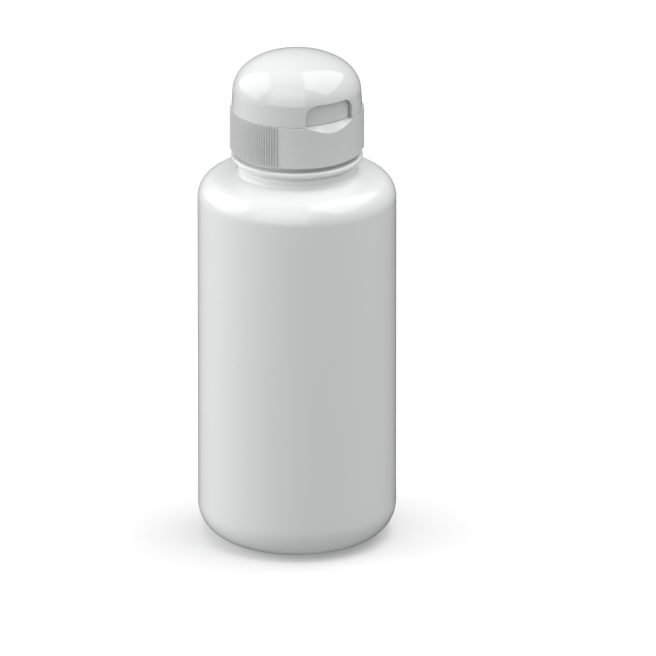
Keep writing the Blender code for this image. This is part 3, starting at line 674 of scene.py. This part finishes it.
def make_mouthpiece():
    top = SPOUT_HIGH.z
    taper_z = top - SPOUT_BEAD_HEIGHT
    bead = SPOUT_TIP_RADIUS + SPOUT_BEAD
    collar = SPOUT_BASE_RADIUS + SPOUT_ROOT_FILLET
    collar_z = PLATEAU_Z + SEAT_GAP
    flange_top = PLATEAU_UNDER_Z - SEAT_GAP
    flange = SPOUT_HIGH.x
    small = SMALL_ROUND
    seat_z = VALVE_HIGH.z - VALVE_FLANGE_HEIGHT - SEAT_GAP
    rows = [(SPOUT_BORE, seat_z), (VALVE_SEAT_RADIUS, seat_z)]
    rows += arc(VALVE_SEAT_RADIUS + small, top - small, small, math.pi, math.pi / 2, 4)
    rows += arc(bead - SPOUT_BEAD, top - SPOUT_BEAD, SPOUT_BEAD, math.pi / 2, 0, 8)
    rows += arc(bead - SPOUT_BEAD, taper_z + SPOUT_BEAD, SPOUT_BEAD, 0, -math.pi / 2, 6)[:-1]
    rows += [(SPOUT_TIP_RADIUS, taper_z)]
    root_z = collar_z + COLLAR_THICKNESS + SPOUT_ROOT_FILLET
    fillet = arc(collar, root_z, SPOUT_ROOT_FILLET, math.pi, 1.5 * math.pi, 9)
    rows += line(rows[-1], fillet[0], 8)[:-1] + fillet[:-1]
    rows += arc(collar - small, collar_z + COLLAR_THICKNESS - small, small, math.pi / 2, 0, 3)
    rows += [(collar, collar_z), (SPOUT_BASE_RADIUS, collar_z), (SPOUT_BASE_RADIUS, flange_top)]
    rows += arc(flange - small, flange_top - small, small, math.pi / 2, 0, 3)
    rows += arc(flange - small, SPOUT_LOW.z + small, small, 0, -math.pi / 2, 3)
    rows += [(SPOUT_BORE, SPOUT_LOW.z)]
    return turned("mouthpiece_spout", rows, even_angles(SMALL_COLUMNS), closed=True)


def make_valve():
    flange = VALVE_HIGH.x
    dish = SPOUT_BORE - SEAT_GAP * 2
    top = VALVE_HIGH.z
    low = top - VALVE_DISH
    rows = [(0, low)] + [(dish * s, low + VALVE_DISH * s * s) for s in VALVE_TOP_SHARES]
    rows += arc(flange - SMALL_ROUND, top - SMALL_ROUND, SMALL_ROUND, math.pi / 2, 0, 4)
    flange_z = top - VALVE_FLANGE_HEIGHT
    rows += [(flange, flange_z), (dish, flange_z)]
    under = low - VALVE_WALL
    rows += [(dish * s, under + (flange_z - under) * s * s) for s in VALVE_UNDER_SHARES]
    rows += [(0, under)]
    valve = turned("valve_disc", rows, even_angles(SMALL_COLUMNS))
    slits = []
    for name, width, depth in (("slit_x", SLIT_LENGTH, SLIT_WIDTH), ("slit_y", SLIT_WIDTH, SLIT_LENGTH)):
        corners = ((-width, -depth), (width, -depth), (width, depth), (-width, depth))
        rings = [[(x / 2, y / 2, z) for x, y in corners] for z in (under - CUT_MARGIN, top)]
        slits.append(lofted(name, rings))
    return combine(valve, slits, "DIFFERENCE")


def make_retainer():
    outer = RETAINER_HIGH.x
    inner = outer - RETAINER_WALL
    top = RETAINER_HIGH.z
    low = RETAINER_LOW.z
    round_in = SPOUT_BEAD
    rows = arc(inner + round_in, top - round_in, round_in, math.pi, math.pi / 2, 6)
    rows += arc(outer - SMALL_ROUND, top - SMALL_ROUND, SMALL_ROUND, math.pi / 2, 0, 4)
    rows += [(outer, low), (inner, low)]
    return turned("retainer_ring", rows, even_angles(SMALL_COLUMNS), closed=True)


def make_gasket():
    low, high = GASKET_LOW.z, GASKET_HIGH.z
    outer = GASKET_HIGH.x
    small = SMALL_ROUND
    rows = arc(MOUTH_RADIUS + small, high - small, small, math.pi, math.pi / 2, 3)
    rows += arc(outer - small, high - small, small, math.pi / 2, 0, 3)
    rows += arc(outer - small, low + small, small, 0, -math.pi / 2, 3)
    rows += arc(MOUTH_RADIUS + small, low + small, small, -math.pi / 2, -math.pi, 3)
    return turned("gasket_ring", rows, closed=True)


# ======== Lid ========


def dome_z(radius, wall=0.0):
    share = min(1.0, radius / (DOME_RADIUS - wall))
    return DOME_Z + (DOME_HEIGHT - wall) * (1 - share**DOME_POWER) ** (1 / DOME_POWER)


def dome_radius(z, wall=0.0):
    share = min(1.0, (z - DOME_Z) / (DOME_HEIGHT - wall))
    return (DOME_RADIUS - wall) * (1 - share**DOME_POWER) ** (1 / DOME_POWER)


def dome_rows(wall, start, end, steps):
    """Rows on the dome from radius start to radius end, evenly turned as seen from its centre."""
    reach = DOME_RADIUS - wall
    first = math.acos(min(1.0, (start / reach) ** (DOME_POWER / 2)))
    last = math.acos(min(1.0, (end / reach) ** (DOME_POWER / 2)))
    radii = [
        reach * max(0.0, math.cos(first + (last - first) * i / steps)) ** (2 / DOME_POWER)
        for i in range(steps + 1)
    ]
    return [(r, dome_z(r, wall)) for r in radii]


def lid_rows():
    crease_radius = dome_radius(CREASE_Z)
    outside = dome_rows(0.0, 0.0, dome_radius(CREASE_Z + CREASE_GROOVE), 44)
    outside[0] = (0, LID_TOP_Z)
    outside += [(crease_radius - CREASE_GROOVE, CREASE_Z)]
    small = RIM_ROUND / 2
    band = [(crease_radius, CREASE_Z - CREASE_GROOVE)]
    band += line(band[0], (CLOSURE_RADIUS, LID_Z + small), 14)[:-1]
    rim = arc(CLOSURE_RADIUS - small, LID_Z + small, small, 0, -math.pi / 2, 2)
    bore = CLOSURE_RADIUS - LID_WALL
    rim += [(bore + SMALL_ROUND, LID_Z), (bore, LID_Z + SMALL_ROUND)]
    holder_inner = SEAL_HIGH.x + SEAT_GAP
    holder_outer = holder_inner + SEAL_HOLDER_WALL
    holder_z = SPOUT_HIGH.z + SEAL_HOLDER_GAP
    inside = dome_rows(LID_WALL, DOME_RADIUS - LID_WALL, holder_outer, 24)
    holder = [(holder_outer, holder_z + SMALL_ROUND), (holder_outer - SMALL_ROUND, holder_z)]
    holder += [(holder_inner + SMALL_ROUND, holder_z), (holder_inner, holder_z + SMALL_ROUND)]
    roof = dome_rows(LID_WALL, holder_inner, 0.0, 6)
    roof[-1] = (0, LID_TOP_Z - LID_WALL)
    return outside + band + rim + inside + holder + roof


def lid_shape(r, z, angle):
    """Presses the small round gate mark into the top of the dome."""
    if z > LID_TOP_Z - LID_WALL / 2 and r < GATE_RADIUS:
        return r, z - GATE_DEPTH * smooth_step((GATE_RADIUS - r) / (GATE_RADIUS * GATE_FADE))
    return r, z


def lid_face_radius(z):
    """Radius of the lid's outer face at a height."""
    if z >= CREASE_Z:
        return dome_radius(z)
    share = max(0.0, (z - LID_Z) / (CREASE_Z - LID_Z))
    return CLOSURE_RADIUS + (dome_radius(CREASE_Z) - CLOSURE_RADIUS) * share


def notch_ring(grow, low):
    """The arch's right half as (x, z), grown outwards: up the side and round the corner to its flat top."""
    half_width = NOTCH_HALF_WIDTH + grow
    top = RIM_Z + SEAT_GAP + NOTCH_HEIGHT + grow
    corner = NOTCH_CORNER + grow
    curve = arc(half_width - corner, top - corner, corner, 0, math.pi / 2, NOTCH_ARC_STEPS)
    rise = curve[0][1] - low
    side = [(half_width, low + rise * i / NOTCH_SIDE_STEPS) for i in range(NOTCH_SIDE_STEPS)]
    return side + curve


def notch_layer(grow, radius_at, low):
    """A curved sheet of points across the arch: one row for each height, from its left edge to its right."""
    layer = []
    for x_edge, z in notch_ring(grow, low):
        radius = radius_at(z)
        row = [x_edge * (2 * i / NOTCH_COLUMNS - 1) for i in range(NOTCH_COLUMNS + 1)]
        layer.append([(x, -math.sqrt(radius**2 - x**2), z) for x in row])
    return layer


def layer_rim(layer):
    """The outer edge of a sheet of points, once round."""
    right = [row[-1] for row in layer]
    left = [row[0] for row in layer]
    return right[:-1] + layer[-1][::-1] + left[-2::-1] + layer[0][1:-1]


def make_notch_cutter():
    """The thumb notch with a round groove along the foot of its walls and a rounded edge at the face."""
    low = LID_Z - CUT_MARGIN
    edge = NOTCH_EDGE_ROUND
    steps = NOTCH_ROUND_STEPS
    layers = []
    for i in range(2 * steps + 1):
        turn = math.pi / 2 * i / steps
        inset = NOTCH_GROOVE_WIDTH * (1 + math.cos(turn)) / 2
        radius = NOTCH_BACK_RADIUS - NOTCH_GROOVE_DEPTH * math.sin(turn)
        layers.append(notch_layer(-inset, lambda z, radius=radius: radius, low))
    for i in range(steps + 1):
        turn = NOTCH_EDGE_TURN * i / steps
        sink = edge * (1 - math.sin(turn))
        grow = edge * (1 - math.cos(turn))
        layers.append(notch_layer(grow, lambda z, sink=sink: lid_face_radius(z) - sink, low))
    layers.append(notch_layer(grow, lambda z: lid_face_radius(z) + CUT_MARGIN, low))
    bm = bmesh.new()
    rims = [[bm.verts.new(p) for p in layer_rim(layer)] for layer in layers]
    for near, far in zip(rims, rims[1:]):
        for i in range(len(near)):
            j = (i + 1) % len(near)
            bm.faces.new((near[i], near[j], far[j], far[i]))
    for layer in (layers[0], layers[-1]):
        grid = [[bm.verts.new(p) for p in row] for row in layer]
        for lower, upper in zip(grid, grid[1:]):
            for i in range(NOTCH_COLUMNS):
                bm.faces.new((lower[i], lower[i + 1], upper[i + 1], upper[i]))
    return finish_object(bm, "notch_cutter")


def make_notch_pad():
    """The inner wall behind the thumb notch."""
    half_width = NOTCH_HALF_WIDTH + NOTCH_SIDE_WALL
    angle = math.asin(half_width / NOTCH_BACK_RADIUS)
    columns = NOTCH_PAD_COLUMNS
    outer = CLOSURE_RADIUS - LID_WALL / 2 - LID_DRAFT
    angles = [-math.pi / 2 + angle * (2 * i / columns - 1) for i in range(columns + 1)]
    outline = [(outer, a) for a in angles] + [(NOTCH_PAD_RADIUS, a) for a in reversed(angles)]
    base = LID_Z + SEAT_GAP
    top = RIM_Z + NOTCH_HEIGHT + NOTCH_SIDE_WALL
    rings = [[(r * math.cos(a), r * math.sin(a), z) for r, a in outline] for z in (base, top)]
    return lofted("notch_pad", rings)


def knuckle_outline():
    """Side view of the lid's hinge knuckle in (y, z): a round head joined to the lid by a short arm."""
    arm_z = RIM_Z + SEAT_GAP + HINGE_ARM_LIFT
    below = math.asin((HINGE_Z - arm_z) / HINGE_HEAD_RADIUS)
    head = arc(HINGE_Y, HINGE_Z, HINGE_HEAD_RADIUS, math.pi + below, 2.5 * math.pi, 36)
    buried = CLOSURE_RADIUS - LID_WALL / 2 - LID_DRAFT
    return head + [(buried, HINGE_Z + HINGE_ARM_RISE), (buried, arm_z)]


def make_lid():
    lid = turned("lid_dome", lid_rows(), shape=lid_shape)
    knuckle = slab_x("knuckle", knuckle_outline(), -KNUCKLE_HALF_WIDTH, KNUCKLE_HALF_WIDTH, HINGE_EDGE)
    combine(lid, [make_notch_pad(), knuckle], "UNION")
    reach = KNUCKLE_HALF_WIDTH + KNUCKLE_CUT_MARGIN
    bore = rod_x("knuckle_hole", PIN_RADIUS + HINGE_RUN_GAP, -reach, reach)
    return combine(lid, [make_notch_cutter(), bore], "DIFFERENCE")


def make_seal():
    low, high = SEAL_LOW.z, SEAL_HIGH.z
    radius = SEAL_HIGH.x
    edge = SEAL_ROUND
    rows = [(0, high), (radius - edge, high)]
    rows += arc(radius - edge, high - edge, edge, math.pi / 2, 0, 4)[1:]
    rows += arc(radius - edge, low + edge, edge, 0, -math.pi / 2, 5)
    rows += [(radius / 2, low), (0, low)]
    return turned("seal_disc", rows, even_angles(SMALL_COLUMNS))


def make_pin():
    return rod_x("pin_rod", PIN_RADIUS, PIN_LOW.x, PIN_HIGH.x, chamfer=SMALL_ROUND)


# ======== Materials ========


class Nodes:
    """A short way to build a node tree."""

    def __init__(self, name):
        self.material = bpy.data.materials.new(name)
        self.material.use_nodes = True
        self.tree = self.material.node_tree
        self.shader = self.tree.nodes["Principled BSDF"]
        self.place = self.tree.nodes.new("ShaderNodeTexCoord").outputs["Object"]

    def add(self, kind, **inputs):
        node = self.tree.nodes.new(kind)
        for key, value in inputs.items():
            self.put(node.inputs[key.replace("_", " ")], value)
        return node

    def put(self, socket, value):
        if isinstance(value, bpy.types.NodeSocket):
            self.tree.links.new(value, socket)
        else:
            socket.default_value = value

    def noise(self, scale, detail=2.0):
        node = self.add("ShaderNodeTexNoise", Vector=self.place, Scale=scale, Detail=detail)
        return node.outputs["Fac"]

    def span(self, value, low, high):
        """Maps the usual reach of a noise on to low to high."""
        start, end = NOISE_REACH
        ends = {"From_Min": start, "From_Max": end, "To_Min": low, "To_Max": high}
        node = self.add("ShaderNodeMapRange", Value=value, **ends)
        return node.outputs["Result"]

    def blend(self, value, low, high):
        """Mixes two colours, low where the value is 0 and high where it is 1."""
        node = self.tree.nodes.new("ShaderNodeMix")
        node.data_type = "RGBA"
        self.put(node.inputs["Factor"], value)
        self.put(node.inputs["A"], (*low, 1.0))
        self.put(node.inputs["B"], (*high, 1.0))
        return node.outputs["Result"]

    def bump(self, height, distance, normal=None):
        node = self.add("ShaderNodeBump", Height=height, Distance=distance, Strength=1.0)
        if normal:
            self.put(node.inputs["Normal"], normal)
        return node.outputs["Normal"]


def moulded_plastic(name, colour, roughness, ripple, grain):
    """Opaque moulded plastic: faint cloudiness, long ripples from the mould and a fine surface grain."""
    nodes = Nodes(name)
    sockets = nodes.shader.inputs
    cloud = nodes.noise(CLOUD_SCALE, detail=3.0)
    low = tuple(c * CLOUD_SHARE for c in colour)
    nodes.put(sockets["Base Color"], nodes.blend(cloud, low, colour))
    smear = nodes.noise(SMEAR_SCALE)
    least, most = roughness * (1 - SMEAR_SPREAD), roughness * (1 + SMEAR_SPREAD)
    nodes.put(sockets["Roughness"], nodes.span(smear, least, most))
    waves = nodes.bump(nodes.noise(RIPPLE_SCALE, detail=1.0), ripple)
    nodes.put(sockets["Normal"], nodes.bump(nodes.noise(GRAIN_SCALE), grain, waves))
    sockets["Specular IOR Level"].default_value = PLASTIC_SPECULAR
    return nodes.material


def rubber(name, colour, roughness):
    """Milky silicone: soft light inside it and a dusty, fine-grained skin."""
    nodes = Nodes(name)
    sockets = nodes.shader.inputs
    cloud = nodes.noise(SILICONE_CLOUD_SCALE, detail=3.0)
    low = tuple(c * SILICONE_CLOUD_SHARE for c in colour)
    nodes.put(sockets["Base Color"], nodes.blend(cloud, low, colour))
    smear = nodes.noise(SILICONE_SMEAR_SCALE)
    least, most = roughness * (1 - SILICONE_SMEAR_SPREAD), roughness * (1 + SILICONE_SMEAR_SPREAD)
    nodes.put(sockets["Roughness"], nodes.span(smear, least, most))
    skin = nodes.noise(SILICONE_GRAIN_SCALE, detail=3.0)
    nodes.put(sockets["Normal"], nodes.bump(skin, SILICONE_GRAIN))
    sockets["Subsurface Weight"].default_value = SILICONE_DEPTH_SHARE
    sockets["Subsurface Radius"].default_value = SILICONE_DEPTH
    sockets["Subsurface Scale"].default_value = 1.0
    return nodes.material


def drawn_steel(name):
    """Drawn wire: fine lines along X and a slightly uneven shine."""
    nodes = Nodes(name)
    sockets = nodes.shader.inputs
    stretched = nodes.add("ShaderNodeMapping", Vector=nodes.place, Scale=STEEL_LINE_SCALE).outputs["Vector"]
    lines = nodes.add("ShaderNodeTexNoise", Vector=stretched, Scale=1.0, Detail=2.0).outputs["Fac"]
    nodes.put(sockets["Base Color"], nodes.blend(lines, STEEL_DARK, STEEL_LIGHT))
    nodes.put(sockets["Roughness"], nodes.span(lines, *STEEL_ROUGHNESS))
    nodes.put(sockets["Normal"], nodes.bump(lines, STEEL_LINE_DEPTH))
    sockets["Metallic"].default_value = 1.0
    return nodes.material


# ======== Stage ========


def make_floor():
    """A matt pale floor that takes the object's shadow. The object neither reflects it nor is lit by it."""
    bm = bmesh.new()
    bmesh.ops.create_grid(bm, x_segments=1, y_segments=1, size=FLOOR_HALF_SIZE)
    floor = finish_object(bm, "floor")
    floor.location.z = BOTTLE_LOW.z - FLOOR_DROP
    nodes = Nodes("studio_floor")
    tone = nodes.noise(FLOOR_CLOUD_SCALE)
    nodes.put(nodes.shader.inputs["Base Color"], nodes.blend(tone, *FLOOR_TONES))
    nodes.shader.inputs["Roughness"].default_value = 1.0
    nodes.shader.inputs["Specular IOR Level"].default_value = 0.0
    floor.data.materials.append(nodes.material)
    floor.visible_glossy = False
    floor.visible_diffuse = False


def softbox(name, azimuth, tilt, half_width, low, high, radiance, distance):
    """A flat rectangular light. It stands a distance away on the given azimuth, leaning over by tilt.

    The azimuth is in degrees from the camera. The half width, and the low and high edges along the panel,
    are shares of that distance."""
    heading = CAMERA_AZIMUTH + math.radians(azimuth)
    lean = math.radians(tilt)
    out = Vector((math.sin(heading), -math.cos(heading), 0))
    normal = out * math.cos(lean) + Vector((0, 0, math.sin(lean)))
    along = -out * math.sin(lean) + Vector((0, 0, math.cos(lean)))
    middle = normal + along * (low + high) / 2
    data = bpy.data.lights.new(name, "AREA")
    data.shape = "RECTANGLE"
    data.size = 2 * half_width * distance
    data.size_y = (high - low) * distance
    data.energy = radiance * math.pi * data.size * data.size_y
    light = bpy.data.objects.new(name, data)
    light.location = Vector((0, 0, LIGHT_CENTRE_Z)) + middle * distance
    side = normal.cross(along)
    basis = Matrix((-side, along, normal)).transposed()
    light.rotation_euler = basis.to_euler()
    light.visible_camera = False
    light.visible_transmission = False
    bpy.context.scene.collection.objects.link(light)
    return light


def make_world():
    """An even surround that lights the surfaces but isn't reflected, and a pale backdrop past the floor."""
    world = bpy.data.worlds.new("studio")
    world.use_nodes = True
    tree = world.node_tree
    path = tree.nodes.new("ShaderNodeLightPath")
    backdrop = tree.nodes.new("ShaderNodeMath")
    backdrop.operation = "MULTIPLY"
    backdrop.inputs[1].default_value = BACKDROP
    strength = tree.nodes.new("ShaderNodeMath")
    strength.operation = "MULTIPLY_ADD"
    strength.inputs[1].default_value = SURROUND
    tree.links.new(path.outputs["Is Camera Ray"], backdrop.inputs[0])
    tree.links.new(path.outputs["Is Diffuse Ray"], strength.inputs[0])
    tree.links.new(backdrop.outputs["Value"], strength.inputs[2])
    light = tree.nodes["Background"]
    light.inputs["Color"].default_value = (1, 1, 1, 1)
    tree.links.new(strength.outputs["Value"], light.inputs["Strength"])
    bpy.context.scene.world = world


def make_camera():
    """A long lens far off, aimed a little to the right of the object's axis."""
    a, e = CAMERA_AZIMUTH, CAMERA_ELEVATION
    towards = Vector((math.sin(a) * math.cos(e), -math.cos(a) * math.cos(e), math.sin(e)))
    right = Vector((math.cos(a), math.sin(a), 0))
    aim = Vector((0, 0, AIM_HEIGHT)) + right * AIM_RIGHT
    data = bpy.data.cameras.new("camera")
    data.sensor_width = SENSOR_WIDTH
    data.lens = SENSOR_WIDTH * CAMERA_DISTANCE / FRAME_WIDTH
    camera = bpy.data.objects.new("camera", data)
    camera.location = aim + towards * CAMERA_DISTANCE
    up = towards.cross(right)
    camera.rotation_euler = Matrix((right, up, towards)).transposed().to_euler()
    bpy.context.scene.collection.objects.link(camera)
    bpy.context.scene.camera = camera


def dress(piece, node, body, material):
    """Gives a piece its material and slot, and lets it stand for its node on its body."""
    piece.data.materials.clear()
    piece.data.materials.append(material)
    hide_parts(node)
    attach(piece, body)


def main():
    bpy.context.scene.view_settings.view_transform = "Standard"
    make_camera()
    make_world()
    make_floor()
    for name, *place in SHINE_BOXES:
        softbox("shine_" + name, *place, SHINE_DISTANCE).visible_diffuse = False
    for name, *place in FILL_BOXES:
        softbox("fill_" + name, *place, FILL_DISTANCE).visible_glossy = False

    white = moulded_plastic("blown_white", *BLOWN_WHITE)
    satin = moulded_plastic("moulded_satin", *MOULDED_SATIN)
    polished = moulded_plastic("moulded_polished", *MOULDED_POLISHED)
    silicone = rubber("silicone", SILICONE_COLOUR, SILICONE_ROUGHNESS)
    steel = drawn_steel("drawn_steel")

    dress(make_bottle(), "bottle", "bottle", white)
    dress(make_gasket(), "neck_gasket", "gasket", silicone)
    dress(make_closure(), "closure", "closure", satin)
    dress(make_mouthpiece(), "mouthpiece", "closure", silicone)
    dress(make_valve(), "slit_valve", "closure", silicone)
    dress(make_retainer(), "valve_retainer", "closure", satin)
    dress(make_pin(), "hinge_pin", "closure", steel)
    dress(make_lid(), "lid", "lid", polished)
    dress(make_seal(), "lid_seal", "lid", silicone)


main()
bpy.context.view_layer.update()
